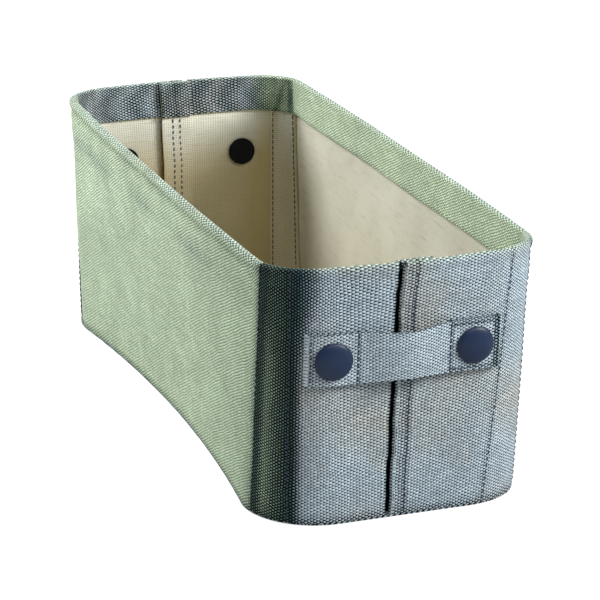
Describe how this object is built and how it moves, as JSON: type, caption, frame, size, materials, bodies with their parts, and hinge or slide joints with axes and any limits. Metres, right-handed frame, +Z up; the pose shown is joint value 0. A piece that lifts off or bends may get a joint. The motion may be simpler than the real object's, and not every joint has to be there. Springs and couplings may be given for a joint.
{
  "type": "fabric storage bin",
  "caption": "Long open-topped soft storage bin of coated canvas with folded rim hems, lapped end seams and a riveted strap handle on each end.",
  "frame": {"origin": "middle of the bin's footprint on the floor", "axes": "+X across the width, to the right when facing the front handle; +Y along the length from the front handle to the rear one; +Z up"},
  "size_m": [0.1568, 0.4056, 0.143],
  "materials": {
    "side_canvas": "coarse plain weave, sage green, matt",
    "end_canvas": "coarse plain weave, blue-grey, matt",
    "base_canvas": "coarse plain weave, blue-green, matt",
    "coated_backing": "beige coating over the back of the weave, matt",
    "seam_backing": "beige coating, turned-in panel edge, matt",
    "strap_webbing": "coarse plain weave strap, blue-grey, matt",
    "rivet_enamel": "slate navy enamel, satin",
    "rivet_steel": "plain steel post",
    "rivet_dark": "near-black enamel, satin"
  },
  "bodies": {
    "bin": {"base_backing": "coated_backing", "base_canvas": "base_canvas", "front_inner_half_backing": "coated_backing", "front_inner_half_canvas": "end_canvas", "front_left_seam_allowance": "seam_backing", "front_outer_half_backing": "coated_backing", "front_outer_half_canvas": "end_canvas", "front_right_seam_allowance": "seam_backing", "front_strap_left_tab": "strap_webbing", "front_strap_right_tab": "strap_webbing", "left_side_backing": "coated_backing", "left_side_canvas": "side_canvas", "rear_inner_half_backing": "coated_backing", "rear_inner_half_canvas": "end_canvas", "rear_left_seam_allowance": "seam_backing", "rear_outer_half_backing": "coated_backing", "rear_outer_half_canvas": "end_canvas", "rear_right_seam_allowance": "seam_backing", "rear_strap_left_tab": "strap_webbing", "rear_strap_right_tab": "strap_webbing", "right_side_backing": "coated_backing", "right_side_canvas": "side_canvas", "rivet_caps": "rivet_enamel", "rivet_discs": "rivet_dark", "rivet_posts": "rivet_steel"},
    "front_grip": {"front_strap_grip": "strap_webbing"},
    "rear_grip": {"rear_strap_grip": "strap_webbing"}
  },
  "joints": [
    {"name": "front_handle_pull", "type": "slide", "parent": "bin", "child": "front_grip", "axis": [0, -0.999, -0.0454], "range_m": [0, 0.006], "stiffness_N_per_m": 300},
    {"name": "rear_handle_pull", "type": "slide", "parent": "bin", "child": "rear_grip", "axis": [0, 0.999, -0.0454], "range_m": [0, 0.006], "stiffness_N_per_m": 300}
  ]
}
